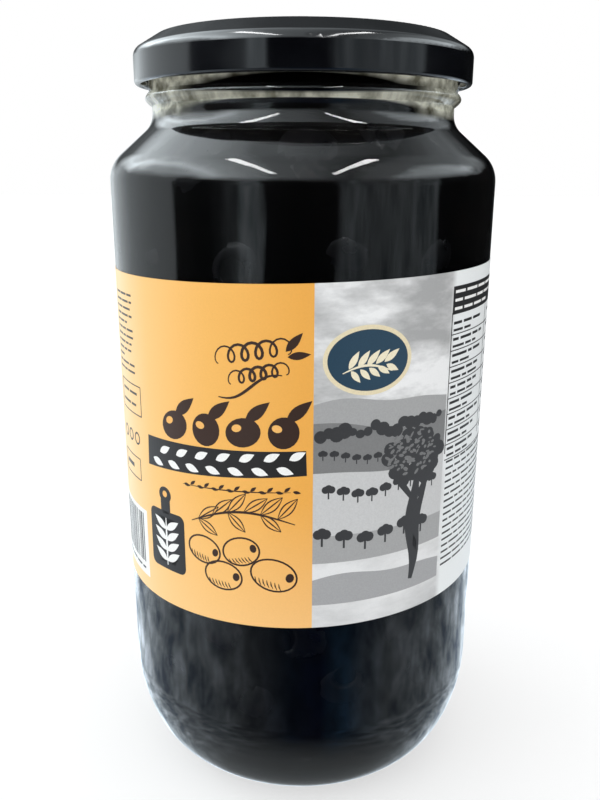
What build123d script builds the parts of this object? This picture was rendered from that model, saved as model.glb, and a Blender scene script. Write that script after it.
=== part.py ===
"""A tall glass jar of black olives in brine, with a twist-off steel lid and a wrap-round paper label.

Millimetres, +Z up. The origin is the centre of the ring that the jar stands on, the front of the label
faces -Y, and its two ends lap at the back, +Y. Sections are drawn with x as radius and y as height,
then turned about the jar's axis.
"""

import os
from math import asin, cos, degrees, radians, sin, tan

from build123d import *

CLEARANCE = 0.05  # between the glass and each thing that fills it, wraps it or seals it

# Jar: one piece of moulded glass. Its wall has the same thickness from the heel to the mouth.
BODY_RADIUS = 49.4
SHOULDER_START = 161.6  # height where the straight wall ends
WALL = 2.8
BASE_THICKNESS = 5.6
FLOOR_RISE = 2.0  # crown of the floor inside
PUSH_UP = 3.0  # hollow under the base
STANDING_RING_WIDTH = 2.0

# Heel: the round between wall and base, of two arcs that meet in line.
HEEL_UPPER_RADIUS = 43.6
HEEL_LOWER_RADIUS = 17.9
HEEL_TURN = 25.3  # degrees that the upper arc turns in from the wall

# Shoulder: an outward round, a short cone and an inward round up to the neck.
SHOULDER_RADIUS = 8.6
SHOULDER_TURN = 48.9  # degrees that the cone leans in from the wall
SHOULDER_CONE = 8.4
NECK_ROUND = 5.65

# Neck, with the bead that the mould carries the jar by, and above it the finish that takes the lid.
NECK_LENGTH = 1.5
BEAD_HEIGHT = 3.4
BEAD_PROUD = 1.6  # both stand out of the neck by these
FINISH_PROUD = 0.7
FINISH_HEIGHT = 11.3  # from the bead to the rim
RIM_ROUND = 1.2
HEADSPACE = 7.6  # from the rim down to the brine

# Thread: short sloping ridges. Each turns about its own centre, off the jar's axis, so its ends fade out.
THREAD_STARTS = 6
THREAD_SECTION = 1.7
THREAD_PROUD = 1.3
THREAD_OFFSET = 7.2
THREAD_SPAN = 84.0  # degrees about that own centre
THREAD_SLOPE = 3.2  # degrees

# Lid: pressed steel with a bevelled edge, a lowered panel with a safety button, and a rolled hem.
LID_HEIGHT = 11.3
LID_SHEET = 0.3
LID_EDGE_ROUND = 2.35
LID_BEVEL_TURN = 59.0  # degrees that the bevel leans in from the skirt
LID_BEVEL = 5.25
LID_CROWN_ROUND = 1.1
LID_BAND = 8.8  # from the skirt in to the panel
LID_PANEL_DEPTH = 0.9
LID_BUTTON_RADIUS = 11.0
LID_BUTTON_RISE = 0.5
SEAL_THICKNESS = 1.2  # the ring of sealing compound moulded into the lid
SEAL_LAP = 0.6  # its reach over each side of the glass rim's flat
HEM_RADIUS = 0.9
HEM_GAP = 0.31  # from the hem in to the thread
LUG_COUNT = 6
LUG_WIDTH = 11.0
LUG_REACH = 0.9  # inwards from the hem
LUG_SECTION = 0.8  # radius
LUG_GAP = 0.4  # from the hem's top up to the ridges that the lugs hold under

# Label: a strip of paper round the straight wall, glued a little out of level.
LABEL_DROP = 19.9  # from the shoulder down to its top edge
LABEL_HEIGHT = 83.2
LABEL_PAPER = 0.12
LABEL_LAP = 9.0
LABEL_TILT = 1.5  # degrees, its +X side up

# What follows from the sizes above.
HEEL_COSINE = cos(radians(HEEL_TURN))
SHOULDER_SINE = sin(radians(SHOULDER_TURN))
SHOULDER_COSINE = cos(radians(SHOULDER_TURN))
ROUNDS = SHOULDER_RADIUS + NECK_ROUND
STANDING_RADIUS = BODY_RADIUS - HEEL_UPPER_RADIUS * (1 - HEEL_COSINE) - HEEL_LOWER_RADIUS * HEEL_COSINE
NECK_RADIUS = BODY_RADIUS - ROUNDS * (1 - SHOULDER_COSINE) - SHOULDER_CONE * SHOULDER_SINE
MOUTH_RADIUS = NECK_RADIUS - WALL
FINISH_RADIUS = NECK_RADIUS + FINISH_PROUD
NECK_START = SHOULDER_START + ROUNDS * SHOULDER_SINE + SHOULDER_CONE * SHOULDER_COSINE
BEAD_BOTTOM = NECK_START + NECK_LENGTH
BEAD_TOP = BEAD_BOTTOM + BEAD_HEIGHT
RIM = BEAD_TOP + FINISH_HEIGHT
BRINE_TOP = RIM - HEADSPACE
LID_TOP = RIM + CLEARANCE + SEAL_THICKNESS + LID_SHEET
LID_RADIUS = FINISH_RADIUS + THREAD_PROUD + HEM_GAP + 2 * HEM_RADIUS
LID_PANEL_RADIUS = LID_RADIUS - LID_BAND
HEM_CENTRE_RADIUS = LID_RADIUS - HEM_RADIUS
HEM_MIDDLE = LID_TOP - LID_HEIGHT + HEM_RADIUS
THREAD_MIDDLE = HEM_MIDDLE + HEM_RADIUS + LUG_GAP + THREAD_SECTION / 2
LABEL_RADIUS = BODY_RADIUS + CLEARANCE


def turned(section):
    """Turn a section about the jar's axis into a solid."""
    return revolve(Plane.XZ * section, Axis.Z)


def dome(edge_radius, height, rise):
    """Arc of a shallow dome, from its crown on the axis out to its edge."""
    radius = (edge_radius**2 + rise**2) / (2 * rise)
    return JernArc((0, height + rise), (1, 0), radius, -degrees(asin(edge_radius / radius)))


def wall_line(inset, floor):
    """Edges from the base up to the neck, set in from the outside of the glass by inset."""
    heel_low = JernArc((STANDING_RADIUS, floor), (1, 0), HEEL_LOWER_RADIUS - inset, 90 - HEEL_TURN)
    heel_high = JernArc(heel_low @ 1, heel_low % 1, HEEL_UPPER_RADIUS - inset, HEEL_TURN)
    side = Line(heel_high @ 1, (BODY_RADIUS - inset, SHOULDER_START))
    shoulder = JernArc(side @ 1, (0, 1), SHOULDER_RADIUS - inset, SHOULDER_TURN)
    cone = Line(shoulder @ 1, shoulder @ 1 + (shoulder % 1) * SHOULDER_CONE)
    neck = JernArc(cone @ 1, cone % 1, NECK_ROUND + inset, -SHOULDER_TURN)
    return [heel_low, heel_high, side, shoulder, cone, neck]


def finish_line():
    """Edges up the outside of the neck, over the rim and down the mouth."""
    neck = Line((NECK_RADIUS, NECK_START), (NECK_RADIUS, BEAD_BOTTOM))
    bead_crest = (NECK_RADIUS + BEAD_PROUD, BEAD_BOTTOM + BEAD_HEIGHT / 2)
    bead = ThreePointArc(neck @ 1, bead_crest, (FINISH_RADIUS, BEAD_TOP))
    outside = Line(bead @ 1, (FINISH_RADIUS, RIM - RIM_ROUND))
    outer_round = JernArc(outside @ 1, (0, 1), RIM_ROUND, 90)
    rim_flat = Line(outer_round @ 1, (MOUTH_RADIUS + RIM_ROUND, RIM))
    inner_round = JernArc(rim_flat @ 1, (-1, 0), RIM_ROUND, 90)
    mouth = Line(inner_round @ 1, (MOUTH_RADIUS, NECK_START))
    return [neck, bead, outside, outer_round, rim_flat, inner_round, mouth]


def thread_ridge():
    """One ridge of the thread, its middle over the +X axis."""
    own_radius = FINISH_RADIUS + THREAD_PROUD - THREAD_SECTION / 2 - THREAD_OFFSET
    section = Pos(own_radius, 0) * Circle(THREAD_SECTION / 2)
    ridge = Rot(0, 0, -THREAD_SPAN / 2) * revolve(Plane.XZ * section, Axis.Z, THREAD_SPAN)
    return Pos(0, 0, THREAD_MIDDLE) * Rot(THREAD_SLOPE, 0, 0) * Pos(THREAD_OFFSET, 0, 0) * ridge


def glass_jar():
    """The jar: body, shoulder, bead, finish and thread."""
    under = dome(STANDING_RADIUS - STANDING_RING_WIDTH, 0, PUSH_UP)
    ring = Line(under @ 1, (STANDING_RADIUS, 0))
    floor = dome(STANDING_RADIUS, BASE_THICKNESS, FLOOR_RISE)
    axis = Line(under @ 0, floor @ 0)
    outside = wall_line(0, 0)
    inside = wall_line(WALL, BASE_THICKNESS)
    jar = turned(make_face([under, ring, *outside, *finish_line(), *inside, floor, axis]))
    for start in range(THREAD_STARTS):
        jar += Rot(0, 0, start * 360 / THREAD_STARTS) * thread_ridge()
    return jar


def brine():
    """The olives and the brine round them, as one solid up to the level in the mouth."""
    inset = WALL + CLEARANCE
    floor = dome(STANDING_RADIUS, BASE_THICKNESS + CLEARANCE, FLOOR_RISE)
    side = wall_line(inset, BASE_THICKNESS + CLEARANCE)
    mouth = Line(side[-1] @ 1, (NECK_RADIUS - inset, BRINE_TOP))
    surface = Line(mouth @ 1, (0, BRINE_TOP))
    axis = Line(surface @ 1, floor @ 0)
    return turned(make_face([floor, *side, mouth, surface, axis]))


def lid_face(inset):
    """Half section of the lid down to the hem's middle, filled to the axis and set in by inset."""
    bevel_rise = LID_EDGE_ROUND * sin(radians(LID_BEVEL_TURN)) + LID_BEVEL * cos(radians(LID_BEVEL_TURN))
    crown_rise = LID_CROWN_ROUND * (1 - sin(radians(LID_BEVEL_TURN)))
    skirt_top = LID_TOP - bevel_rise - crown_rise
    top = LID_TOP - inset
    panel = top - LID_PANEL_DEPTH
    skirt = Line((LID_RADIUS - inset, HEM_MIDDLE), (LID_RADIUS - inset, skirt_top))
    edge = JernArc(skirt @ 1, (0, 1), LID_EDGE_ROUND - inset, LID_BEVEL_TURN)
    bevel = Line(edge @ 1, edge @ 1 + (edge % 1) * LID_BEVEL)
    crown = JernArc(bevel @ 1, bevel % 1, LID_CROWN_ROUND - inset, 90 - LID_BEVEL_TURN)
    rest = Polyline(
        crown @ 1,
        (LID_PANEL_RADIUS, top),
        (LID_PANEL_RADIUS - LID_PANEL_DEPTH, panel),
        (LID_BUTTON_RADIUS, panel),
        (LID_BUTTON_RADIUS - LID_BUTTON_RISE, panel + LID_BUTTON_RISE),
        (0, panel + LID_BUTTON_RISE),
        (0, HEM_MIDDLE),
        skirt @ 0,
    )
    return make_face([skirt, edge, bevel, crown, rest])


def seal_face():
    """Section of the sealing compound over the glass rim, before the lid's own outline trims it."""
    inner = MOUTH_RADIUS + RIM_ROUND - SEAL_LAP
    outer = FINISH_RADIUS - RIM_ROUND + SEAL_LAP
    bottom = RIM + CLEARANCE
    corners = [(inner, bottom), (outer, bottom), (outer, LID_TOP), (inner, LID_TOP)]
    return make_face(Polyline(*corners, close=True))


def lug():
    """One lug of the hem, bowed in towards the thread, its ends in the hem and its middle over +X."""
    sag = HEM_RADIUS + LUG_REACH - LUG_SECTION
    curve = 1 / (8 * sag / LUG_WIDTH**2 - 1 / HEM_CENTRE_RADIUS)
    span = 2 * degrees(asin(LUG_WIDTH / 2 / curve))
    section = Pos(curve, 0) * Circle(LUG_SECTION)
    bow = Rot(0, 0, 180 - span / 2) * revolve(Plane.XZ * section, Axis.Z, span)
    return Pos(HEM_CENTRE_RADIUS - sag + curve, 0, HEM_MIDDLE) * bow


def steel_lid():
    """The lid: sheet, sealing compound, rolled hem and lugs in one piece."""
    outline = lid_face(0)
    hem = Pos(HEM_CENTRE_RADIUS, HEM_MIDDLE) * Circle(HEM_RADIUS)
    lid = turned(outline - lid_face(LID_SHEET) + (seal_face() & outline) + hem)
    for number in range(LUG_COUNT):
        lid += Rot(0, 0, number * 360 / LUG_COUNT) * lug()
    return lid


def paper_label():
    """The label: the wrapped strip and the lap at its ends, trimmed level with the tilted edges."""
    run = LABEL_HEIGHT + 4 * LABEL_RADIUS * tan(radians(LABEL_TILT))
    middle = SHOULDER_START - LABEL_DROP - LABEL_HEIGHT / 2
    section = Pos(LABEL_RADIUS + LABEL_PAPER / 2, middle) * Rectangle(LABEL_PAPER, run)
    lap_angle = degrees(LABEL_LAP / LABEL_RADIUS)
    lap_section = Plane.XZ * (Pos(LABEL_PAPER, 0) * section)
    lap = Rot(0, 0, 90) * revolve(lap_section, Axis.Z, lap_angle)
    room = 4 * LABEL_RADIUS
    slab = Pos(0, 0, middle) * Rot(0, -LABEL_TILT, 0) * Box(room, room, LABEL_HEIGHT)
    return (turned(section) + lap) & slab


os.makedirs("parts", exist_ok=True)
export_step(glass_jar(), "parts/jar.step")
export_step(brine(), "parts/brine.step")
export_step(steel_lid(), "parts/lid.step")
export_step(paper_label(), "parts/label.step")
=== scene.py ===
"""A jar of black olives, finished for its looks: glass, brine, olives, lid and printed label.

Metres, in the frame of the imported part: +Z up, standing on z = 0, the front of the label facing -Y.
"""

import random
from math import cos, pi, radians, sin, sqrt, tan

import bmesh
import bpy
from mathutils import Matrix, Vector


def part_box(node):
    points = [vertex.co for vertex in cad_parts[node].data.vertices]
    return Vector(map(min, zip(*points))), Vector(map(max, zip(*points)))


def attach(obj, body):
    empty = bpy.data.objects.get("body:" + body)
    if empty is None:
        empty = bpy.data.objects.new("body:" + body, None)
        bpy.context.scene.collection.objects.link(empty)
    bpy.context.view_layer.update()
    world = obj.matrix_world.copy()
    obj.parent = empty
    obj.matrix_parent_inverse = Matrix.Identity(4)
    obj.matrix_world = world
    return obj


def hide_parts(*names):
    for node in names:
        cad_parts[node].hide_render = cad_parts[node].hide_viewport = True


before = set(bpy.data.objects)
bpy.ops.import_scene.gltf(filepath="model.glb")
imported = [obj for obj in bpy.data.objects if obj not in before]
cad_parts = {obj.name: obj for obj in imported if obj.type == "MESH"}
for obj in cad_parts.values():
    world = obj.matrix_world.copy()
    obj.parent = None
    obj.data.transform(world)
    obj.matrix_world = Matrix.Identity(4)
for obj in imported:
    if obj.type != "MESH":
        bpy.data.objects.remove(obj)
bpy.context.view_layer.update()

scene = bpy.context.scene
scene.view_settings.view_transform = "Standard"
mm = 0.001


# ---- Camera ----
# Level with the jar's shoulder and tipped down, close enough that the jar's sides draw together
# toward its foot.
camera_data = bpy.data.cameras.new("camera")
camera_data.lens = 37.15
camera_data.shift_x = -0.0024
camera_data.shift_y = 0.0165
camera = bpy.data.objects.new("camera", camera_data)
camera.location = (0, -0.22547, 0.16658)
tip_down = Matrix.Rotation(radians(73.03), 3, "X")
roll = Matrix.Rotation(radians(0.25), 3, "Z")
camera.rotation_euler = (tip_down @ roll).to_euler()
scene.collection.objects.link(camera)
scene.camera = camera


# ---- Room ----
# White behind the jar, and a shop's room in front of it that the glass mirrors: a pale wall to the left,
# dimmer shelves to the right, a dark figure's width between them, and a bright ceiling.
def node_of(nodes, kind, **settings):
    """Add a shader node and set its properties."""
    node = nodes.new(kind)
    for key, value in settings.items():
        setattr(node, key, value)
    return node


def noise_of(nodes, links, place, scale, detail=2.0, roughness=0.5):
    """Add a noise over a place and hand back its value."""
    noise = nodes.new("ShaderNodeTexNoise")
    noise.inputs["Scale"].default_value = scale
    noise.inputs["Detail"].default_value = detail
    noise.inputs["Roughness"].default_value = roughness
    links.new(place, noise.inputs["Vector"])
    return noise.outputs["Fac"]


def ramp_of(nodes, links, value, stops):
    """Add a ramp over a value, from (place, colour) stops; a colour may be one grey level."""
    node = nodes.new("ShaderNodeValToRGB")
    ramp = node.color_ramp
    while len(ramp.elements) < len(stops):
        ramp.elements.new(0.5)
    for element, (place, colour) in zip(ramp.elements, stops):
        element.position = place
        element.color = (*colour, 1) if isinstance(colour, tuple) else (colour, colour, colour, 1)
    links.new(value, node.inputs[0])
    return node.outputs[0]


def stretched(nodes, links, place, scale):
    """Scale a place along each axis, so that a pattern over it is drawn out or squashed."""
    mapping = nodes.new("ShaderNodeMapping")
    mapping.inputs["Scale"].default_value = scale
    links.new(place, mapping.inputs[0])
    return mapping.outputs[0]


def math_of(nodes, links, operation, *values):
    """Add a math node whose inputs are sockets or plain numbers."""
    node = node_of(nodes, "ShaderNodeMath", operation=operation)
    for socket, value in zip(node.inputs, values):
        if isinstance(value, (int, float)):
            socket.default_value = value
        else:
            links.new(value, socket)
    return node.outputs[0]


def mix_of(nodes, links, share, first, second, blend="MIX"):
    """Add a colour mix whose inputs are sockets, plain numbers or colours."""
    node = node_of(nodes, "ShaderNodeMix", data_type="RGBA", blend_type=blend)
    for name, value in (("Factor", share), ("A", first), ("B", second)):
        socket = [s for s in node.inputs if s.name == name and s.enabled][0]
        if isinstance(value, (int, float)):
            socket.default_value = value
        elif isinstance(value, tuple):
            socket.default_value = (*value, 1)
        else:
            links.new(value, socket)
    return [s for s in node.outputs if s.enabled][0]


world = bpy.data.worlds.new("room")
scene.world = world
world.use_nodes = True
nodes, links = world.node_tree.nodes, world.node_tree.links
direction = node_of(nodes, "ShaderNodeTexCoord").outputs["Generated"]
ripple = noise_of(nodes, links, direction, 6.0, detail=3.0)
split = node_of(nodes, "ShaderNodeSeparateXYZ")
links.new(direction, split.inputs[0])
up = split.outputs["Z"]
down = math_of(nodes, links, "MULTIPLY", up, -1.0)
toward = math_of(nodes, links, "MULTIPLY", split.outputs["Y"], -1.0)
bearing = math_of(nodes, links, "ARCTAN2", split.outputs["X"], toward)
turn_share = math_of(nodes, links, "MULTIPLY_ADD", bearing, 1 / (2 * pi), 0.5)
edge_ripple = 0.03
wobble = math_of(nodes, links, "MULTIPLY_ADD", ripple, edge_ripple, turn_share)


def at_bearing(stops):
    """Ramp stops from (degrees round from the front, colour), the front being the label's side."""
    return [((degrees_round + 180) / 360 + edge_ripple / 2, colour) for degrees_round, colour in stops]


def cool(level):
    """A grey with the room's slight blue cast."""
    return (0.88 * level, 0.96 * level, level)


# Level with the eye: a bright wall and window to the left, then dark uprights between pale stretches,
# and the mottle of full shelves to the right.
eye_level = ramp_of(nodes, links, wobble, at_bearing([
    (-180, cool(0.1)), (-166, cool(0.25)), (-150, cool(0.55)), (-120, cool(0.38)), (-79, cool(0.36)),
    (-76, 0.001), (-53, 0.002), (-47, cool(0.03)), (-37, cool(0.1)), (-34, cool(0.36)), (-24, cool(0.28)),
    (-21, 0.001), (18, 0.001), (22, cool(0.12)), (28, cool(0.2)), (40, cool(0.13)), (52, cool(0.16)),
    (82, cool(0.2)), (86, 0.001), (150, 0.002), (174, cool(0.02))]))
mottle = noise_of(nodes, links, direction, 9.0, detail=4.0, roughness=0.62)
shop = ramp_of(nodes, links, mottle, [
    (0.3, (0.35, 0.42, 0.45)), (0.5, (0.95, 0.98, 1.0)), (0.72, (1.7, 1.75, 1.8))])
to_shop = ramp_of(nodes, links, turn_share, [(0.3, 0.0), (0.42, 1.0)])
shop_light = mix_of(nodes, links, to_shop, (1.0, 1.0, 1.0), shop)
eye_view = mix_of(nodes, links, 1.0, eye_level, shop_light, "MULTIPLY")

# Overhead: a bright ceiling to both sides and a duller one between, dark straight behind the jar.
sideways = math_of(nodes, links, "MULTIPLY_ADD", split.outputs["X"], 0.5, 0.5)
ceiling_ripple = 0.08
ceiling_place = math_of(nodes, links, "MULTIPLY_ADD", ripple, ceiling_ripple, sideways)
ceiling_place = math_of(nodes, links, "SUBTRACT", ceiling_place, ceiling_ripple / 2)
above = ramp_of(nodes, links, ceiling_place, [
    (0.0, cool(0.3)), (0.07, cool(0.5)), (0.12, cool(0.9)), (0.17, cool(0.55)), (0.25, cool(0.36)),
    (0.33, cool(0.28)), (0.38, cool(0.16)), (0.5, cool(0.13)), (0.6, cool(0.08)), (0.71, cool(0.035)),
    (0.78, cool(0.09)), (0.87, cool(0.13)), (0.92, cool(0.4)), (1.0, cool(0.34))])
ceiling_lift = 3.0
ceiling = mix_of(nodes, links, 1.0, above, (ceiling_lift,) * 3, "MULTIPLY")
rippled_up = math_of(nodes, links, "MULTIPLY_ADD", ripple, 0.12, up)
to_ceiling = ramp_of(nodes, links, rippled_up, [(0.26, 0.0), (0.44, 1.0)])
room = mix_of(nodes, links, to_ceiling, eye_view, ceiling)
sideways_reach = math_of(nodes, links, "ABSOLUTE", split.outputs["X"])
backward = math_of(nodes, links, "MULTIPLY_ADD", sideways_reach, -0.8, split.outputs["Y"])
far_back = ramp_of(nodes, links, backward, [(0.28, 0.0), (0.5, 0.86)])
raised = ramp_of(nodes, links, up, [(0.06, 0.0), (0.16, 1.0)])
dull_back = math_of(nodes, links, "MULTIPLY", far_back, raised)
room = mix_of(nodes, links, dull_back, room, (0.0, 0.0, 0.0))

# Below: a streaky floor, dark in front of the jar, and a plain one right under it.
below = ramp_of(nodes, links, wobble, at_bearing([
    (-180, cool(0.6)), (-130, cool(0.45)), (-100, cool(0.35)), (-60, cool(0.24)), (-35, cool(0.1)),
    (-8, (0.012, 0.02, 0.035)), (12, (0.002, 0.005, 0.02)), (28, (0.02, 0.05, 0.085)), (60, cool(0.17)),
    (100, cool(0.22)), (150, cool(0.5))]))
flattened = stretched(nodes, links, direction, (1.0, 1.0, 5.0))
smears = noise_of(nodes, links, flattened, 5.5, detail=6.0, roughness=0.6)
smeared = ramp_of(nodes, links, smears, [
    (0.34, (0.35, 0.4, 0.5)), (0.5, (0.9, 0.95, 1.0)), (0.7, (1.8, 1.85, 2.0))])
floor_view = mix_of(nodes, links, 1.0, below, smeared, "MULTIPLY")
to_floor = ramp_of(nodes, links, down, [(0.2, 0.0), (0.42, 1.0)])
room = mix_of(nodes, links, to_floor, room, floor_view)
under = ramp_of(nodes, links, sideways, [(0.05, cool(0.2)), (0.5, cool(0.17)), (0.95, cool(0.12))])
to_under = ramp_of(nodes, links, down, [(0.7, 0.0), (0.92, 1.0)])
room = mix_of(nodes, links, to_under, room, under)
room_lift = 2.6
room = mix_of(nodes, links, 1.0, room, (room_lift,) * 3, "MULTIPLY")

# What shows through the glass's edges is the white behind the jar, and so is the open view past it.
path = node_of(nodes, "ShaderNodeLightPath")
behind = ramp_of(nodes, links, split.outputs["Y"], [(0.35, 0.0), (0.7, 1.0)])
through = math_of(nodes, links, "MULTIPLY", path.outputs["Is Transmission Ray"], behind)
room = mix_of(nodes, links, through, room, (1.0, 1.0, 1.0))
room = mix_of(nodes, links, path.outputs["Is Diffuse Ray"], room, (0.98, 0.98, 0.98))
room = mix_of(nodes, links, path.outputs["Is Camera Ray"], room, (1.0, 1.0, 1.0))
links.new(room, nodes["Background"].inputs["Color"])


# Two strip lamps on the ceiling, which the glass and the lid mirror as pale streaks.
strip_aside, strip_forward, strip_height = 0.95, 1.6, 2.1
for name, across in (("strip_left", -strip_aside), ("strip_right", strip_aside)):
    lamp = bpy.data.lights.new(name, "AREA")
    lamp.shape = "RECTANGLE"
    lamp.size = 0.2
    lamp.size_y = 2.9
    lamp.energy = 30
    holder = bpy.data.objects.new(name, lamp)
    holder.location = (across, -strip_forward, strip_height)
    holder.visible_diffuse = False
    scene.collection.objects.link(holder)


def finish_object(name, bm, smooth=True):
    """Turn a finished bmesh into an object at the origin."""
    mesh = bpy.data.meshes.new(name)
    bm.to_mesh(mesh)
    bm.free()
    for polygon in mesh.polygons:
        polygon.use_smooth = smooth
    piece = bpy.data.objects.new(name, mesh)
    scene.collection.objects.link(piece)
    return piece


def new_material(name):
    """Add a material and hand back it, its nodes and its links."""
    material = bpy.data.materials.new(name)
    material.use_nodes = True
    return material, material.node_tree.nodes, material.node_tree.links


# A pale floor that the eye sees as white with the jar's soft shadow on it.
floor_mesh = bmesh.new()
bmesh.ops.create_grid(floor_mesh, x_segments=1, y_segments=1, size=4.0)
floor = finish_object("floor", floor_mesh, smooth=False)
floor_paint, nodes, links = new_material("floor_paint")
path = node_of(nodes, "ShaderNodeLightPath")
matt = nodes["Principled BSDF"]
matt.inputs["Base Color"].default_value = (0.42, 0.42, 0.42, 1)
matt.inputs["Roughness"].default_value = 0.8
matt.inputs["Specular IOR Level"].default_value = 0.0
matt.inputs["Emission Color"].default_value = (1, 1, 1, 1)
matt.inputs["Emission Strength"].default_value = 0.58
clear = node_of(nodes, "ShaderNodeBsdfTransparent")
either = node_of(nodes, "ShaderNodeMixShader")
mirrored, passed = path.outputs["Is Glossy Ray"], path.outputs["Is Transmission Ray"]
unseen = math_of(nodes, links, "MAXIMUM", mirrored, passed)
links.new(unseen, either.inputs[0])
links.new(matt.outputs[0], either.inputs[1])
links.new(clear.outputs[0], either.inputs[2])
links.new(either.outputs[0], nodes["Material Output"].inputs["Surface"])
floor.data.materials.append(floor_paint)


# ---- Glass jar ----
# One piece of clear moulded glass: body, shoulder, bead and finish, turned about the jar's axis on the
# packed jar's own sizes, but in finer facets so that its highlights run clean.
jar_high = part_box("jar")[1]
brine_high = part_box("brine")[1]
lid_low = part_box("lid")[0]
body_radius = jar_high.x
rim = jar_high.z
wall = 2.8 * mm
base_thickness, floor_rise, push_up, standing_ring = 5.6 * mm, 2.0 * mm, 3.0 * mm, 2.0 * mm
heel_upper, heel_lower, heel_turn = 43.6 * mm, 17.9 * mm, radians(25.3)
shoulder_start, shoulder_round, neck_round = 161.6 * mm, 8.6 * mm, 5.65 * mm
shoulder_turn, shoulder_cone = radians(48.9), 8.4 * mm
neck_length, bead_height, bead_proud = 1.5 * mm, 3.4 * mm, 1.6 * mm
finish_proud, rim_round = 0.7 * mm, 1.2 * mm

standing_radius = body_radius - heel_upper * (1 - cos(heel_turn)) - heel_lower * cos(heel_turn)
rounds = shoulder_round + neck_round
neck_radius = body_radius - rounds * (1 - cos(shoulder_turn)) - shoulder_cone * sin(shoulder_turn)
neck_start = shoulder_start + rounds * sin(shoulder_turn) + shoulder_cone * cos(shoulder_turn)
bead_bottom = neck_start + neck_length
mouth_radius = neck_radius - wall


def arc(start, heading, radius, turn, steps):
    """Points along an arc after start, from its first heading through a signed turn."""
    side = 1 if turn > 0 else -1
    centre_x = start[0] - side * radius * sin(heading)
    centre_z = start[1] + side * radius * cos(heading)
    angles = [heading + turn * step / steps for step in range(1, steps + 1)]
    return [(centre_x + side * radius * sin(a), centre_z - side * radius * cos(a)) for a in angles]


def ahead(start, heading, length):
    """The point a length ahead of start."""
    return (start[0] + length * cos(heading), start[1] + length * sin(heading))


def wall_outline(inset, floor_height):
    """Outline from the base up to the neck, set in from the outside of the glass by inset."""
    line = [(standing_radius, floor_height)]
    line += arc(line[-1], 0, heel_lower - inset, pi / 2 - heel_turn, 16)
    line += arc(line[-1], pi / 2 - heel_turn, heel_upper - inset, heel_turn, 10)
    line += [(body_radius - inset, shoulder_start)]
    line += arc(line[-1], pi / 2, shoulder_round - inset, shoulder_turn, 12)
    line += [ahead(line[-1], pi / 2 + shoulder_turn, shoulder_cone)]
    line += arc(line[-1], pi / 2 + shoulder_turn, neck_round + inset, -shoulder_turn, 10)
    return line


def dome_outline(edge_radius, height, rise, steps=8):
    """Outline of a shallow dome from the axis out to just before its edge."""
    radius = (edge_radius**2 + rise**2) / (2 * rise)
    reach = [edge_radius * step / steps for step in range(steps)]
    return [(x, height + rise - radius + sqrt(radius**2 - x**2)) for x in reach]


def turned(outline, steps=240):
    """Spin an outline of (radius, height) points round the jar's axis into a closed shape."""
    bm = bmesh.new()
    ring = [bm.verts.new((x, 0, z)) for x, z in outline]
    edges = [bm.edges.new(pair) for pair in zip(ring, ring[1:])]
    if outline[0][0] > 0 and outline[-1][0] > 0:
        edges.append(bm.edges.new((ring[-1], ring[0])))
    bmesh.ops.spin(bm, geom=ring + edges, cent=(0, 0, 0), axis=(0, 0, 1), angle=2 * pi,
                   steps=steps, use_merge=True)
    bmesh.ops.remove_doubles(bm, verts=bm.verts, dist=1e-6)
    bmesh.ops.recalc_face_normals(bm, faces=bm.faces)
    return bm


outline = dome_outline(standing_radius - standing_ring, 0, push_up)
outline += [(standing_radius - standing_ring, 0)]
outline += wall_outline(0, 0)
bead_steps = 12
for step in range(bead_steps + 1):
    share = step / bead_steps
    swell = (bead_proud - finish_proud / 2) * sin(pi * share)
    outline.append((neck_radius + finish_proud * share + swell, bead_bottom + bead_height * share))
outline += [(neck_radius + finish_proud, rim - rim_round)]
outline += arc(outline[-1], pi / 2, rim_round, pi / 2, 8)
outline += [(mouth_radius + rim_round, rim)]
outline += arc(outline[-1], pi, rim_round, pi / 2, 8)
outline += wall_outline(wall, base_thickness)[::-1]
outline += dome_outline(standing_radius, base_thickness, floor_rise)[::-1]
glass = finish_object("glass_jar", turned(outline))

# Thread ridges, each turned about its own centre off the jar's axis so that its ends fade into the glass.
thread_starts, thread_section, thread_proud = 6, 1.7 * mm, 1.3 * mm
thread_offset, thread_span, thread_slope = 7.2 * mm, radians(84), radians(3.2)
hem_height, lug_gap = 1.8 * mm, 0.4 * mm
thread_middle = lid_low.z + hem_height + lug_gap + thread_section / 2
own_radius = neck_radius + finish_proud + thread_proud - thread_section / 2 - thread_offset
threads = bmesh.new()
for start in range(thread_starts):
    ring = bmesh.ops.create_circle(threads, cap_ends=False, radius=thread_section / 2, segments=12)["verts"]
    bmesh.ops.rotate(threads, verts=ring, cent=(0, 0, 0), matrix=Matrix.Rotation(pi / 2, 3, "X"))
    bmesh.ops.translate(threads, verts=ring, vec=(own_radius, 0, 0))
    bmesh.ops.rotate(threads, verts=ring, cent=(0, 0, 0), matrix=Matrix.Rotation(-thread_span / 2, 3, "Z"))
    rim_edges = list({edge for vert in ring for edge in vert.link_edges})
    made = bmesh.ops.spin(threads, geom=ring + rim_edges, cent=(0, 0, 0), axis=(0, 0, 1),
                          angle=thread_span, steps=24)
    last = [item for item in made["geom_last"] if isinstance(item, bmesh.types.BMVert)]
    ridge = {v for v in threads.verts if not v.tag}
    bmesh.ops.contextual_create(threads, geom=rim_edges)
    end_edges = list({edge for vert in last for edge in vert.link_edges if edge.other_vert(vert) in last})
    bmesh.ops.contextual_create(threads, geom=end_edges)
    turn = Matrix.Rotation(start * 2 * pi / thread_starts, 4, "Z")
    climb = Matrix.Translation((0, 0, thread_middle)) @ Matrix.Rotation(thread_slope, 4, "X")
    place = turn @ climb @ Matrix.Translation((thread_offset, 0, 0))
    bmesh.ops.transform(threads, matrix=place, verts=list(ridge))
    for vert in threads.verts:
        vert.tag = True
bmesh.ops.recalc_face_normals(threads, faces=threads.faces)
thread = finish_object("glass_thread", threads)


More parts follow.
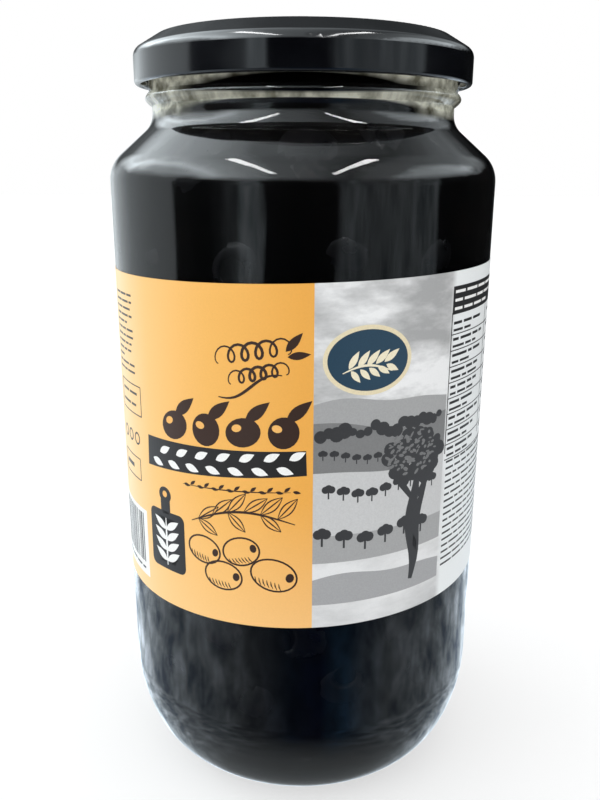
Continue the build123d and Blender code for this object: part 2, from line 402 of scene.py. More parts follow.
def bump_of(nodes, links, height, strength, distance):
    """Add a bump from a height and hand back its normal."""
    bump = nodes.new("ShaderNodeBump")
    bump.inputs["Strength"].default_value = strength
    bump.inputs["Distance"].default_value = distance
    links.new(height, bump.inputs["Height"])
    return bump.outputs[0]


clear_glass, nodes, links = new_material("clear_glass")
shader = nodes["Principled BSDF"]
shader.inputs["Base Color"].default_value = (0.97, 0.985, 0.98, 1)
shader.inputs["Transmission Weight"].default_value = 1.0
shader.inputs["Roughness"].default_value = 0.0
shader.inputs["IOR"].default_value = 1.5
place = node_of(nodes, "ShaderNodeTexCoord").outputs["Object"]
stretch = stretched(nodes, links, place, (1.0, 1.0, 0.35))
waves = noise_of(nodes, links, stretch, 60.0, detail=1.5)
swim = bump_of(nodes, links, waves, 0.22, 0.8 * mm)
links.new(swim, shader.inputs["Normal"])
glass.data.materials.append(clear_glass)
thread.data.materials.append(clear_glass)
for piece in (glass, thread):
    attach(piece, "root")
    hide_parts("jar")


# ---- Brine ----
# The dark brine that fills the jar to its level in the mouth. It reaches just into the glass all round,
# so that no air shows between them.
bite = 0.1 * mm
outline = dome_outline(standing_radius, base_thickness - bite, floor_rise)
outline += wall_outline(wall - bite, base_thickness - bite)
outline += [(mouth_radius + bite, brine_high.z), (0, brine_high.z)]
brine = finish_object("brine", turned(outline))
dark_brine, nodes, links = new_material("dark_brine")
shader = nodes["Principled BSDF"]
shader.inputs["Roughness"].default_value = 0.3
shader.inputs["Specular IOR Level"].default_value = 0.06
place = node_of(nodes, "ShaderNodeTexCoord").outputs["Object"]
cloud = noise_of(nodes, links, place, 55.0)
tones = ramp_of(nodes, links, cloud, [
    (0.35, (0.0006, 0.0006, 0.0009)), (0.62, (0.002, 0.0015, 0.0016)), (0.8, (0.006, 0.003, 0.0026))])
# In the neck, clear of the olives, painted light: where the eye grazes the brine it is painted in pale
# tea-coloured streaks with a glow of its own, standing in for light seen through the glass there.
height = node_of(nodes, "ShaderNodeSeparateXYZ")
links.new(place, height.inputs[0])
neck_low, neck_tall, painted_glow = 172 * mm, 20 * mm, 0.38
above_shoulder = math_of(nodes, links, "SUBTRACT", height.outputs["Z"], neck_low)
above_shoulder = math_of(nodes, links, "DIVIDE", above_shoulder, neck_tall)
neck_share = ramp_of(nodes, links, above_shoulder, [
    (0.17, 0.0), (0.33, 1.0), (0.37, 0.9), (0.52, 0.8), (0.58, 1.0)])
grazing = node_of(nodes, "ShaderNodeLayerWeight")
grazing.inputs["Blend"].default_value = 0.5
grazing_edge = ramp_of(nodes, links, grazing.outputs["Facing"], [(0.15, 0.0), (0.24, 1.0)])
painted_light_share = math_of(nodes, links, "MULTIPLY", neck_share, grazing_edge)
painted_streaks = noise_of(nodes, links, place, 220.0, detail=4.0)
painted_light_colour = ramp_of(nodes, links, painted_streaks, [(0.38, (0.22, 0.21, 0.15)), (0.62, (0.97, 0.95, 0.8))])
brine_colour = mix_of(nodes, links, painted_light_share, tones, painted_light_colour)
links.new(brine_colour, shader.inputs["Base Color"])
# The painted light also glows: an emission on the brine, though it is no lamp.
links.new(painted_light_colour, shader.inputs["Emission Color"])
links.new(math_of(nodes, links, "MULTIPLY", painted_light_share, painted_glow), shader.inputs["Emission Strength"])
brine.data.materials.append(dark_brine)
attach(brine, "root")
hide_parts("brine")


# ---- Olives ----
# Pitted black olives, packed against the glass in uneven rows. Each is soft, so its skin presses flat
# against the wall where it touches, and its pit hole is open at one end.
dice = random.Random(11)
olive_width, olive_length, pit_width, pit_depth = 18.0 * mm, 22.0 * mm, 6.0 * mm, 9.0 * mm
inner_radius = body_radius - wall
press = bite + 0.12 * mm
olive_rows, first_row, row_rise, per_row = 9, 19.0 * mm, 18.2 * mm, 13
heel_top, end_narrowing, shoulder_crowding, heel_crowding = 26 * mm, 0.12, 0.9, 0.5
floor_clearance = 0.3 * mm
one_olive = bmesh.new()
made = bmesh.ops.create_uvsphere(one_olive, u_segments=22, v_segments=16, radius=0.5)["verts"]
for vert in made:
    narrowing = 1 - end_narrowing * (2 * abs(vert.co.z)) ** 4
    vert.co.x *= narrowing * olive_width
    vert.co.y *= narrowing * olive_width
    vert.co.z *= olive_length
    from_axis = vert.co.xy.length / (pit_width / 2)
    if vert.co.z > 0 and from_axis < 1:
        vert.co.z -= pit_depth * (1 - from_axis**2)
pattern = bpy.data.meshes.new("one_olive")
one_olive.to_mesh(pattern)
one_olive.free()
olives = bmesh.new()
for row in range(olive_rows):
    for place_in_row in range(per_row):
        size = dice.uniform(0.9, 1.1)
        around = (place_in_row + 0.5 * (row % 2) + dice.uniform(-0.12, 0.12)) * 2 * pi / per_row
        height = first_row + row * row_rise + dice.uniform(-2.0, 2.0) * mm
        facing = Matrix.Rotation(dice.uniform(0, 2 * pi), 4, "Z")
        lying = Matrix.Rotation(dice.uniform(0.4, pi - 0.4), 4, "Y")
        reach = inner_radius - olive_width * size / 2 + dice.uniform(0.2, 1.3) * mm
        reach -= shoulder_crowding * max(height - shoulder_start, 0)
        reach -= heel_crowding * max(heel_top - height, 0)
        spot = Matrix.Translation((reach * sin(around), -reach * cos(around), height))
        olives.from_mesh(pattern)
        olives.verts.ensure_lookup_table()
        fresh = olives.verts[-len(pattern.vertices):]
        bmesh.ops.transform(olives, matrix=spot @ facing @ lying @ Matrix.Scale(size, 4), verts=fresh)
bpy.data.meshes.remove(pattern)
inside = wall_outline(wall, base_thickness)
for vert in olives.verts:
    vert.co.z = max(vert.co.z, base_thickness + floor_clearance)
    over = next((index for index, point in enumerate(inside) if point[1] > vert.co.z), len(inside) - 1)
    low, high = inside[over - 1], inside[over]
    share = min((vert.co.z - low[1]) / (high[1] - low[1]), 1.0)
    limit = low[0] + (high[0] - low[0]) * share + press
    if vert.co.xy.length > limit:
        vert.co.xy = vert.co.xy.normalized() * limit
bmesh.ops.recalc_face_normals(olives, faces=olives.faces)
olive_heap = finish_object("olives", olives)
black_olive, nodes, links = new_material("black_olive")
shader = nodes["Principled BSDF"]
shader.inputs["Specular IOR Level"].default_value = 0.12
place = node_of(nodes, "ShaderNodeTexCoord").outputs["Object"]
speckle = noise_of(nodes, links, place, 160.0, detail=5.0)
skin = ramp_of(nodes, links, speckle, [
    (0.3, (0.002, 0.002, 0.003)), (0.6, (0.005, 0.004, 0.005)), (0.8, (0.012, 0.006, 0.005))])
links.new(skin, shader.inputs["Base Color"])
shine = ramp_of(nodes, links, speckle, [(0.3, 0.24), (0.7, 0.42)])
links.new(shine, shader.inputs["Roughness"])
olive_heap.data.materials.append(black_olive)
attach(olive_heap, "root")


# ---- Lid ----
# The pressed and lacquered steel lid as packed. Its lacquer is nearly black and very glossy, with a
# faint orange peel and a little rubbed dust.
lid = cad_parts["lid"]
black_lacquer, nodes, links = new_material("black_lacquer")
shader = nodes["Principled BSDF"]
shader.inputs["Coat Weight"].default_value = 0.6
shader.inputs["Coat Roughness"].default_value = 0.05
place = node_of(nodes, "ShaderNodeTexCoord").outputs["Object"]
peel = noise_of(nodes, links, place, 900.0)
rub = noise_of(nodes, links, place, 70.0, detail=6.0)
coat = ramp_of(nodes, links, rub, [
    (0.4, (0.0015, 0.0016, 0.0024)), (0.8, (0.004, 0.0045, 0.006))])
links.new(coat, shader.inputs["Base Color"])
haze = ramp_of(nodes, links, rub, [(0.35, 0.1), (0.75, 0.2)])
links.new(haze, shader.inputs["Roughness"])
bumps = bump_of(nodes, links, peel, 0.05, 0.05 * mm)
links.new(bumps, shader.inputs["Normal"])
lid.data.materials.clear()
lid.data.materials.append(black_lacquer)


# ---- Label ----
# One strip of coated paper glued round the body a little out of level, its ends lapped at the back. The
# print is an orange field at the left and a grey landscape at the right, with pale panels behind.
label_low, label_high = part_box("label")
label_tilt = tan(radians(1.5))
label_tall = 83.2 * mm
label_foot = (label_low.z + label_high.z) / 2 - label_tall / 2
glue_gap, paper_thickness, lap_thickness = 0.03 * mm, 0.08 * mm, 0.06 * mm
paper_inside = body_radius + glue_gap
paper_outside = paper_inside + paper_thickness
seam, lap = 2.6 * mm, 9.0 * mm

corners = [(paper_inside, 0), (paper_outside, 0), (paper_outside, label_tall), (paper_inside, label_tall)]
paper = turned(corners)
lap_strip = bmesh.new()
made = bmesh.ops.create_grid(lap_strip, x_segments=12, y_segments=1, size=0.5)["verts"]
bmesh.ops.scale(lap_strip, verts=made, vec=(lap, label_tall, 1))
lap_face = bmesh.ops.extrude_face_region(lap_strip, geom=lap_strip.faces[:])["geom"]
lap_top = [item for item in lap_face if isinstance(item, bmesh.types.BMVert)]
bmesh.ops.translate(lap_strip, verts=lap_top, vec=(0, 0, lap_thickness))
for vert in lap_strip.verts:
    reach = paper_outside + vert.co.z
    turn = pi + vert.co.x / reach
    vert.co = Vector((reach * sin(turn), -reach * cos(turn), vert.co.y + label_tall / 2))
lap_mesh = bpy.data.meshes.new("lap")
lap_strip.to_mesh(lap_mesh)
lap_strip.free()
paper.from_mesh(lap_mesh)
for vert in paper.verts:
    vert.co.z += label_foot + vert.co.x * label_tilt
bmesh.ops.recalc_face_normals(paper, faces=paper.faces)
label = finish_object("label_paper", paper)
label.data.set_sharp_from_angle(angle=radians(40))

# The paper's fine grain, which shows in the bare paper and through every ink.
paper_grain = bpy.data.node_groups.new("paper_grain", "ShaderNodeTree")
paper_grain.interface.new_socket(name="Grain", in_out="OUTPUT", socket_type="NodeSocketFloat")
place = node_of(paper_grain.nodes, "ShaderNodeTexCoord").outputs["Object"]
speck = noise_of(paper_grain.nodes, paper_grain.links, place, 2500.0)
grain_out = node_of(paper_grain.nodes, "NodeGroupOutput")
paper_grain.links.new(speck, grain_out.inputs["Grain"])

printed_paper, nodes, links = new_material("printed_paper")
shader = nodes["Principled BSDF"]
shader.inputs["Roughness"].default_value = 0.42
place = node_of(nodes, "ShaderNodeTexCoord").outputs["Object"]
split = node_of(nodes, "ShaderNodeSeparateXYZ")
links.new(place, split.inputs[0])
front = math_of(nodes, links, "MULTIPLY", split.outputs["Y"], -1.0)
turn = math_of(nodes, links, "ARCTAN2", split.outputs["X"], front)
across = math_of(nodes, links, "MULTIPLY", turn, paper_outside / mm)
tilt = math_of(nodes, links, "MULTIPLY", split.outputs["X"], label_tilt)
rise = math_of(nodes, links, "SUBTRACT", split.outputs["Z"], tilt)
rise = math_of(nodes, links, "SUBTRACT", rise, label_foot)
rise = math_of(nodes, links, "DIVIDE", rise, label_tall)

orange_wide, panel_left, panel_wide = 160, 38, 100
orange_across = math_of(nodes, links, "MULTIPLY_ADD", across, 1 / orange_wide, 1.0)
# The orange field's colour with painted glare: it is paler toward the left, about 58 mm from the front, and
# deeper toward the seam.
orange = ramp_of(nodes, links, orange_across, [
    (0.45, (0.83, 0.48, 0.17)), (0.64, (0.9, 0.62, 0.32)), (0.74, (0.9, 0.52, 0.18)),
    (0.86, (0.86, 0.455, 0.105)), (1.0, (0.81, 0.38, 0.055))])
pale_foot = ramp_of(nodes, links, rise, [(0.0, 0.5), (0.4, 0.0)])
orange_print_and_glare = mix_of(nodes, links, pale_foot, orange, (0.93, 0.6, 0.28))

drift = stretched(nodes, links, place, (1.0, 1.0, 2.6))
puffs = noise_of(nodes, links, drift, 38.0, detail=5.0, roughness=0.6)
sky = ramp_of(nodes, links, puffs, [(0.38, 0.36), (0.5, 0.55), (0.62, 0.8)])
ground = ramp_of(nodes, links, puffs, [(0.3, 0.45), (0.6, 0.72)])
above_hills = ramp_of(nodes, links, rise, [(0.6, 0.0), (0.66, 1.0)])
picture = mix_of(nodes, links, above_hills, ground, sky)
panel_across = math_of(nodes, links, "MULTIPLY_ADD", across, 1 / panel_wide, -panel_left / panel_wide)
right_panel = ramp_of(nodes, links, panel_across, [(0.0, 0.0), (0.02, 1.0)])
right_side = mix_of(nodes, links, right_panel, picture, (0.78, 0.8, 0.8))
past_seam = math_of(nodes, links, "GREATER_THAN", across, seam / mm)
print_colour = mix_of(nodes, links, past_seam, orange_print_and_glare, right_side)
fibre = node_of(nodes, "ShaderNodeGroup", node_tree=paper_grain)
fibre_tone = ramp_of(nodes, links, fibre.outputs["Grain"], [(0.3, 0.965), (0.7, 1.0)])
print_colour = mix_of(nodes, links, 1.0, print_colour, fibre_tone, "MULTIPLY")
links.new(print_colour, shader.inputs["Base Color"])
tooth = bump_of(nodes, links, fibre.outputs["Grain"], 0.08, 0.02 * mm)
links.new(tooth, shader.inputs["Normal"])
label.data.materials.append(printed_paper)
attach(label, "root")
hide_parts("label")


# ---- Print ----
# Solid inks on the paper, each colour one thin film. They are drawn flat, in millimetres across from the
# front's middle and up from the label's foot, then wrapped round the body.
slice_width, hair = 1.2, 1e-4


def sliced(bm, faces):
    """Cut flat faces into narrow upright slices, so that they can bend round the body."""
    parts = list(faces)
    spots = [vert.co.x for face in parts for vert in face.verts]
    cut = (int(min(spots) // slice_width) + 1) * slice_width
    while cut < max(spots) - hair:
        around = list({item for face in parts for item in (*face.verts, *face.edges)})
        made = bmesh.ops.bisect_plane(bm, geom=parts + around, dist=hair / 10, plane_co=(cut, 0, 0),
                                      plane_no=(1, 0, 0))
        faces = [item for item in made["geom"] if isinstance(item, bmesh.types.BMFace)]
        parts = [face for face in faces if max(vert.co.x for vert in face.verts) > cut + hair]
        cut += slice_width


def ink_shape(bm, points):
    """Add a filled outline."""
    sliced(bm, [bm.faces.new([bm.verts.new((x, y, 0)) for x, y in points])])


def turned_points(points, across, up, lean):
    """Turn flat points by an angle and move them into place."""
    turn_by = Matrix.Rotation(radians(lean), 2)
    moved = [turn_by @ Vector(point) for point in points]
    return [(across + point.x, up + point.y) for point in moved]


def oval_points(width, height, segments):
    """Points round an oval."""
    angles = [2 * pi * step / segments for step in range(segments)]
    return [(width / 2 * cos(angle), height / 2 * sin(angle)) for angle in angles]


def ink_oval(bm, across, up, width, height, lean=0, segments=22):
    """Add a filled oval."""
    ink_shape(bm, turned_points(oval_points(width, height, segments), across, up, lean))


def ink_bar(bm, across, up, width, height, lean=0):
    """Add a filled bar, placed by its middle."""
    half, tall = width / 2, height / 2
    corners = [(-half, -tall), (half, -tall), (half, tall), (-half, tall)]
    ink_shape(bm, turned_points(corners, across, up, lean))


def ink_ring(bm, across, up, width, height, lean, pen, segments=28):
    """Add the outline of an oval."""
    outer = turned_points(oval_points(width, height, segments), across, up, lean)
    inner = turned_points(oval_points(width - 2 * pen, height - 2 * pen, segments), across, up, lean)
    for step in range(segments):
        follow = (step + 1) % segments
        ink_shape(bm, [outer[step], outer[follow], inner[follow], inner[step]])


def ink_line(bm, points, width):
    """Add a pen line along points that thins at both ends."""
    left, right = [], []
    for index, (x, y) in enumerate(points):
        before = Vector(points[max(index - 1, 0)])
        after = Vector(points[min(index + 1, len(points) - 1)])
        along = (after - before).normalized()
        half = width / 2 * (0.35 + 0.65 * sin(pi * index / (len(points) - 1)))
        left.append((x - along.y * half, y + along.x * half))
        right.append((x + along.y * half, y - along.x * half))
    for index in range(len(points) - 1):
        ink_shape(bm, [left[index], right[index], right[index + 1], left[index + 1]])


def ink_leaf(bm, across, up, length, width, lean):
    """Add a filled leaf that starts at a point and runs out at an angle."""
    half = [(length * t / 8, width / 2 * sin(pi * (t / 8) ** 0.85)) for t in range(9)]
    ink_shape(bm, turned_points(half + [(x, -y) for x, y in half[-2:0:-1]], across, up, lean))


def ink_drawn_leaf(bm, across, up, length, width, lean):
    """Add the pen outline of a leaf with its midrib."""
    for bow in (width / 2, 0.0, -width / 2):
        stroke = [(length * t / 8, bow * sin(pi * t / 8)) for t in range(9)]
        ink_line(bm, turned_points(stroke, across, up, lean), 0.34)


def ink_words(bm, left, right, up, height):
    """Add a line of small bars that stand for a line of small print."""
    spot = left
    while spot < right - height:
        width = min(dice.uniform(1.2, 4.5) * height, right - spot)
        ink_bar(bm, spot + width / 2, up, width, height * 0.42)
        spot += width + height * 0.55


def ink_block(bm, left, right, top, lines, pitch):
    """Add a block of small print."""
    for line in range(lines):
        short = dice.uniform(0.1, 0.5) * (right - left) if line % 5 == 4 else 0
        ink_words(bm, left, right - short, top - line * pitch, pitch * 0.72)


def ink_frame(bm, left, right, low, high, pen=0.3):
    """Add the outline of a box."""
    for level in (low, high):
        ink_bar(bm, (left + right) / 2, level, right - left, pen)
    for side in (left, right):
        ink_bar(bm, side, (low + high) / 2, pen, high - low)


film, ink_bite = 0.0095 * mm, 0.02 * mm


def printed(name, bm, layer, colour):
    """Give a flat drawing thickness, wrap it round the label and finish it as one ink."""
    bmesh.ops.recalc_face_normals(bm, faces=bm.faces)
    for face in bm.faces:
        if face.normal.z < 0:
            face.normal_flip()
    thick = bmesh.ops.extrude_face_region(bm, geom=bm.faces[:])["geom"]
    for vert in [item for item in thick if isinstance(item, bmesh.types.BMVert)]:
        vert.co.z = 1.0
    for vert in bm.verts:
        reach = paper_outside + (film * layer if vert.co.z > 0.5 else -ink_bite)
        angle = vert.co.x * mm / paper_outside
        x = reach * sin(angle)
        vert.co = Vector((x, -reach * cos(angle), label_foot + vert.co.y * mm + x * label_tilt))
    piece = finish_object(name, bm, smooth=False)
    ink, nodes, links = new_material(name)
    shader = nodes["Principled BSDF"]
    shader.inputs["Roughness"].default_value = 0.4
    grain = node_of(nodes, "ShaderNodeGroup", node_tree=paper_grain)
    tones = ramp_of(nodes, links, grain.outputs["Grain"], [
        (0.3, tuple(0.9 * channel for channel in colour)), (0.7, colour)])
    links.new(tones, shader.inputs["Base Color"])
    piece.data.materials.append(ink)
    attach(piece, "root")
    return piece


dice = random.Random(5)
dark, brown, white, orange_ink = bmesh.new(), bmesh.new(), bmesh.new(), bmesh.new()

# Title: bold olives and upright leaves in a row, over a black band with pale leaves in it, and a fine
# garland under that.
title_left, title_up, title_pitch, title_climb = -32.6, 49.0, 9.5, 0.22
title_olives = ((8.4, 7.0, 24), (7.4, 8.0, -12), (8.6, 7.0, 14), (7.2, 7.6, -16))
for number, (wide, tall, lean) in enumerate(title_olives):
    across, up = title_left + title_pitch * number, title_up + title_climb * number
    ink_oval(brown, across, up, wide, tall, lean)
    ink_leaf(brown, across + 0.6, up + 2.6, 7.6, 2.9, 40)
    ink_oval(orange_ink, across - 1.5, up + 1.0, 2.4, 1.8, lean, 16)
ink_shape(dark, [(-43.6, 36.6), (1.2, 39.4), (1.0, 45.4), (-43.2, 44.4)])
band_left, band_up, band_pitch, band_climb, upper_row = -41.2, 39.0, 2.95, 0.18, 1.9
for number in range(14):
    lift, lean = (upper_row, 26) if number % 2 else (0, -18)
    ink_leaf(white, band_left + band_pitch * number, band_up + band_climb * number + lift, 4.2, 1.9, lean)
garland_left, garland_up, garland_pitch, garland_climb = -30.0, 34.8, 2.0, 0.05
for number in range(15):
    across, up = garland_left + garland_pitch * number, garland_up + garland_climb * number
    ink_leaf(brown, across, up, 1.9, 0.8, 38 if number % 2 else -12)
garland_stem = [(garland_left - 0.4 + 3.1 * t, garland_up - 0.2 + 0.08 * t) for t in range(10)]
ink_line(brown, garland_stem, 0.3)

# Over the title: a loose pen flourish of two looped rows and a stroke, with a pair of leaves.
flourish_pen, loops, loop_points = 0.7, 5, 14
for left, up, size in ((-19.2, 67.2, 1.9), (-16.2, 62.2, 1.5)):
    turns = [2 * pi * t / loop_points for t in range(loops * loop_points + 1)]
    curls = [(left + size * (0.27 * a - 0.8 * sin(a)), up + 0.08 * a - size * cos(a)) for a in turns]
    ink_line(brown, curls, flourish_pen)
stroke_left, stroke_up, stroke_climb, stroke_bow = -19.4, 57.6, 0.34, 1.2
sweep = [(stroke_left + t, stroke_up + stroke_climb * t - stroke_bow * sin(t * 0.4)) for t in range(16)]
ink_line(brown, sweep, flourish_pen)
ink_leaf(brown, -3.6, 68.4, 5.6, 2.0, 48)
ink_leaf(brown, -3.2, 67.2, 5.2, 1.8, 6)

# Badge at the foot's left: a chopping board with a hole in its handle and a pale sprig on it.
board_left, board_right, board_low, board_high, board_round = -43.8, -30.6, 9.6, 25.6, 1.8
board_middle, board_width = (board_left + board_right) / 2, board_right - board_left
board_straight = board_high - board_low - 2 * board_round
ink_bar(dark, board_middle, (board_low + board_high) / 2, board_width, board_straight)
for level in (board_low + board_round, board_high - board_round):
    ink_bar(dark, board_middle, level, board_width - 2 * board_round, 2 * board_round)
    for side in (board_left + board_round, board_right - board_round):
        ink_oval(dark, side, level, 2 * board_round, 2 * board_round)
ink_bar(dark, board_middle, 27.4, 3.6, 5.0)
ink_oval(dark, board_middle, 30.0, 4.6, 4.2)
ink_oval(orange_ink, board_middle, 30.2, 1.7, 1.7)
ink_line(white, [(board_middle, 10.8 + 1.3 * t) for t in range(11)], 0.7)
for pair in range(4):
    for lean in (32, 148):
        ink_leaf(white, board_middle, 12.0 + 2.9 * pair, 5.4, 2.0, lean)

# Sprig: olives under a long twig of leaves, in brown pen.
twig_left, twig_up, twig_step, twig_arch, twig_climb = -28.0, 25.6, 1.02, 3.4, 0.06
twig = [(twig_left + twig_step * t, twig_up + twig_arch * sin(t * 0.12) + twig_climb * t) for t in range(27)]
ink_line(brown, twig, 0.62)
for index, (x, y) in enumerate(twig[2:26:4]):
    ink_drawn_leaf(brown, x, y, 7.0, 2.4, 34 + 7 * (index % 3))
    if index % 2 == 0:
        ink_drawn_leaf(brown, x, y, 6.4, 2.2, -34 - 6 * (index % 3))
sprig_olives = ((-24.6, 18.6, 9.6, 7.4, -14), (-14.6, 19.6, 9.8, 7.6, 12),
                (-19.4, 12.6, 10.4, 7.8, -6), (-6.6, 14.0, 11.8, 8.6, -16))
for x, y, wide, tall, lean in sprig_olives:
    ink_ring(brown, x, y, wide, tall, lean, 0.45)
    hole = turned_points([(0.33 * wide, 0.06 * tall)], x, y, lean)[0]
    ink_oval(brown, hole[0], hole[1], 0.17 * wide, 0.28 * tall, lean, 14)
    for stroke in range(7):
        start = -0.36 + 0.085 * stroke
        shading = [(start * wide, -0.2 * tall), ((start + 0.03) * wide, -0.3 * tall),
                   ((start + 0.09) * wide, -0.4 * tall)]
        ink_line(brown, turned_points(shading, x, y, lean), 0.32)

# Far left: blocks of small print, two boxes, a row of round marks and a striped panel.
small_pitch = 1.75
ink_block(dark, -62.0, -49.0, 78.0, 12, small_pitch)
ink_frame(dark, -61.0, -46.4, 48.0, 55.6)
ink_frame(dark, -61.0, -48.6, 30.4, 36.2)
ink_words(dark, -59.6, -48.6, 53.4, 1.5)
ink_words(dark, -59.6, -49.4, 50.4, 1.5)
ink_words(dark, -59.6, -50.6, 33.3, 2.6)
marks_left, marks_up, marks_pitch, marks_wide = -59.0, 41.6, 4.6, 3.4
for number in range(3):
    ink_ring(dark, marks_left + marks_pitch * number, marks_up, marks_wide, marks_wide, 0, 0.5)
panel = bmesh.new()
ink_bar(panel, -57.0, 13.2, 21.2, 19.0)
stripes_left, stripes_right, stripes_up, stripes_tall = -65.6, -48.6, 14.4, 14.0
spot = stripes_left
while spot < stripes_right:
    width = dice.choice((0.3, 0.5, 0.8))
    ink_bar(dark, spot + width / 2, stripes_up, width, stripes_tall)
    spot += width + dice.choice((0.35, 0.55, 0.9))
ink_words(dark, -65.2, -48.8, 5.6, 1.5)

# Right: a ruled table under a black header, then small print.
table_left, table_right, margin = 38.8, 72.0, 0.8
table_middle, table_wide = (table_left + table_right) / 2, table_right - table_left
header_up, header_tall, header_pitch = 76.4, 6.6, 2.0
ink_bar(dark, table_middle, header_up, table_wide, header_tall)
for line in range(3):
    height = header_up + header_pitch * (1 - line)
    ink_words(white, table_left + margin, table_right - 3 - 5 * line, height, 1.6)
first_line, line_pitch, print_tall = 71.0, 3.9, 1.6
for line in range(9):
    height = first_line - line_pitch * line
    ink_words(dark, table_left + margin, table_left + 17 + dice.uniform(-4, 2), height, print_tall)
    ink_words(dark, table_left + margin, table_left + 13 + dice.uniform(-4, 2), height - 1.7, 1.4)
    ink_words(dark, table_right - 10, table_right - 1.5, height, print_tall)
    ink_bar(dark, table_middle, height - 2.7, table_wide, 0.25)
second_column, upright_middle, upright_tall = 20.5, 56.2, 34.8
for upright in (table_left, table_left + second_column, table_right):
    ink_bar(dark, upright, upright_middle, 0.28, upright_tall)
ink_block(dark, table_left + margin, table_right, 36.4, 17, small_pitch)

# Behind: more small print on the pale panel, and a large sprig on the orange one.
back_left, back_right, back_pitch = 80.0, 138.0, 2.1
ink_block(dark, back_left, back_right, 74.0, 20, back_pitch)
ink_block(dark, back_left, back_right, 27.0, 9, back_pitch)
mark_across, mark_up, mark_wide = 147.0, 14.0, 9.0
ink_ring(dark, mark_across, mark_up, mark_wide, mark_wide, 0, 0.6)
for number in range(3):
    ink_leaf(dark, mark_across, mark_up - 2.0, 6.0, 2.2, 50 + 40 * number)
twig = [(-132.0 + 1.7 * t, 40.0 + 9.0 * sin(t * 0.105)) for t in range(31)]
ink_line(brown, twig, 1.0)
for index, (x, y) in enumerate(twig[2:30:2]):
    ink_leaf(brown, x, y, 11.0, 3.2, (52 if index % 2 else -44) + 5 * (index % 3))
for x, y in ((-118.0, 25.0), (-104.0, 28.0), (-90.0, 25.0)):
    ink_oval(brown, x, y, 7.4, 10.0, 10)

# Medallion: a navy oval with a beige rim and a beige sprig, over the landscape's sky.
beige, navy, crest = bmesh.new(), bmesh.new(), bmesh.new()
oval_across, oval_up, oval_wide, oval_tall, oval_rim, oval_lean = 15.2, 65.6, 21.4, 16.0, 1.0, -4
ink_oval(beige, oval_across, oval_up, oval_wide, oval_tall, oval_lean, 48)
ink_oval(navy, oval_across, oval_up, oval_wide - 2 * oval_rim, oval_tall - 2 * oval_rim, oval_lean, 48)
ink_line(crest, [(9.0 + 0.85 * t, 63.0 + 1.5 * sin(t * 0.24)) for t in range(15)], 0.55)
for index in range(5):
    ink_leaf(crest, 10.4 + 2.1 * index, 63.9 + 0.25 * index, 4.6, 1.6, 60 - 6 * index)
    ink_leaf(crest, 10.9 + 2.1 * index, 63.5 + 0.2 * index, 3.6, 1.4, -52 + 6 * index)

# Landscape in greys: far hills, a hedge of round trees, fields in bands with rows of young trees, and
# one old tree in front at the right.
far, mid, deep, pale, shade = bmesh.new(), bmesh.new(), bmesh.new(), bmesh.new(), bmesh.new()
picture_left, picture_right = seam / mm, 38.2
picture_width = picture_right - picture_left


def band(bm, foot, base, swell, beats, shift):
    """Fill a strip of country from a level foot up to a rolling skyline, in upright slices."""
    steps = 30
    for step in range(steps):
        sides = []
        for t in (step, step + 1):
            x = picture_left + picture_width * t / steps
            swing = beats * (x - picture_left) / 10
            sides.append((x, base + swell * sin(swing + shift) + 0.4 * swell * sin(2.3 * swing)))
        ink_shape(bm, [(sides[0][0], foot), (sides[1][0], foot), sides[1], sides[0]])


band(far, 47.0, 55.6, 1.3, 1.2, 0.4)
band(mid, 37.0, 50.6, 1.4, 1.0, 2.2)
band(pale, 24.0, 40.5, 1.6, 0.9, 3.6)
band(far, 17.0, 29.0, 1.8, 0.8, 1.2)
band(shade, 6.0, 12.4, 1.3, 1.1, 0.2)
for number in range(19):
    spot = picture_left + 1.6 + number * 1.85
    size = dice.uniform(2.0, 4.0)
    if spot + size / 2 < picture_right:
        ink_oval(deep, spot, 48.8 + dice.uniform(-0.8, 1.8), size, size * dice.uniform(0.8, 1.1), 0, 16)
for row, (height, size, count) in enumerate(((43.6, 1.6, 12), (34.8, 2.3, 9), (23.6, 3.1, 6))):
    for number in range(count):
        spot = picture_left + 2.2 + (number + 0.4 * (row % 2)) * (picture_width - 4.0) / count
        lift = height + 0.9 * sin(spot * 0.3)
        ink_bar(deep, spot, lift - size * 0.6, size * 0.16, size * 0.8)
        for blob in range(3):
            aside, higher = (blob - 1) * size * 0.3, size * 0.14 * (blob % 2)
            ink_oval(deep, spot + aside, lift + higher, size * 0.8, size * 0.8, 0, 14)
trunk_across, trunk_foot, trunk_step, fork_up = 28.4, 8.6, 2.4, 29.0
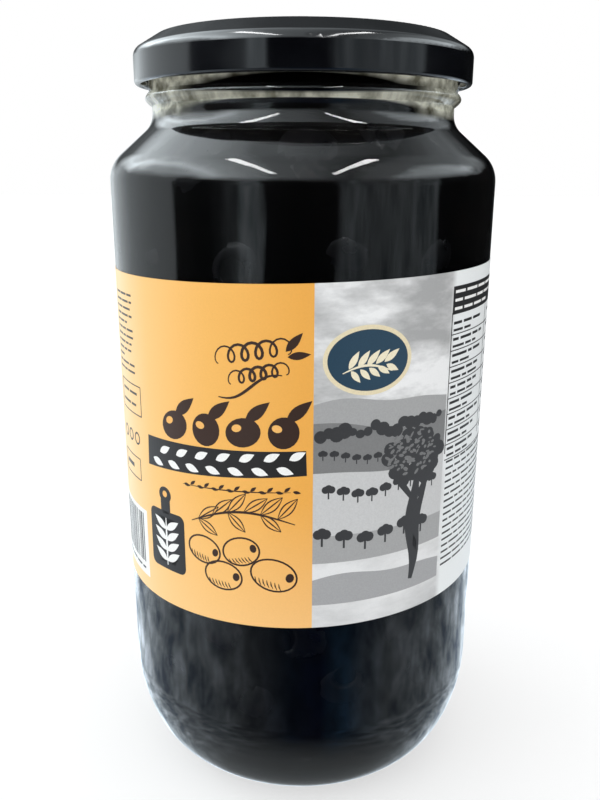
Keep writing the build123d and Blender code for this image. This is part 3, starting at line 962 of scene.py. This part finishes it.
for lean, width in ((0.0, 3.4), (1.0, 2.2)):
    bough = [(trunk_across + lean * 0.28 * t + 0.7 * sin(t * 0.7), trunk_foot + trunk_step * t)
             for t in range(13)]
    ink_line(deep, bough, width)
for side in (-1, 1):
    fork = [(trunk_across + 0.2 + side * 0.9 * t, fork_up + 1.5 * t - 0.06 * t * t) for t in range(8)]
    ink_line(deep, fork, 1.6)
crown_up, crown_reach, crown_rise = 41.0, 8.0, 6.4
for number in range(70):
    around, out = dice.uniform(0, 2 * pi), sqrt(dice.uniform(0, 1))
    blob, lean = dice.uniform(2.0, 3.8), dice.uniform(-40, 40)
    x, y = trunk_across + crown_reach * out * cos(around), crown_up + crown_rise * out * sin(around)
    ink_oval(deep, x, y, blob * 1.2, blob, lean, 12)
leaf_light = bmesh.new()
for number in range(90):
    around, out = dice.uniform(0, 2 * pi), sqrt(dice.uniform(0, 1))
    wide, tall, lean = dice.uniform(0.7, 1.9), dice.uniform(0.4, 0.9), dice.uniform(-40, 60)
    x = trunk_across - 0.8 + (crown_reach - 0.4) * out * cos(around)
    y = crown_up + 1.2 + (crown_rise - 0.8) * out * sin(around)
    ink_oval(leaf_light, x, y, wide, tall, lean, 8)

printed("ink_panel", panel, 1.0, (0.84, 0.84, 0.82))
printed("ink_far_grey", far, 1.0, (0.36, 0.36, 0.36))
printed("ink_mid_grey", mid, 1.6, (0.2, 0.2, 0.2))
printed("ink_pale_grey", pale, 2.2, (0.55, 0.55, 0.55))
printed("ink_shade_grey", shade, 1.6, (0.36, 0.36, 0.365))
printed("ink_deep_grey", deep, 2.8, (0.04, 0.039, 0.041))
printed("ink_leaf_grey", leaf_light, 3.4, (0.17, 0.17, 0.17))
printed("ink_white", white, 3.1, (0.86, 0.86, 0.84))
printed("ink_black", dark, 2.4, (0.018, 0.016, 0.016))
printed("ink_brown", brown, 2.4, (0.04, 0.017, 0.01))
printed("ink_orange", orange_ink, 3.1, (0.87, 0.46, 0.12))
printed("ink_beige", beige, 2.4, (0.76, 0.66, 0.44))
printed("ink_navy", navy, 3.1, (0.012, 0.05, 0.09))
printed("ink_crest", crest, 3.8, (0.83, 0.75, 0.55))
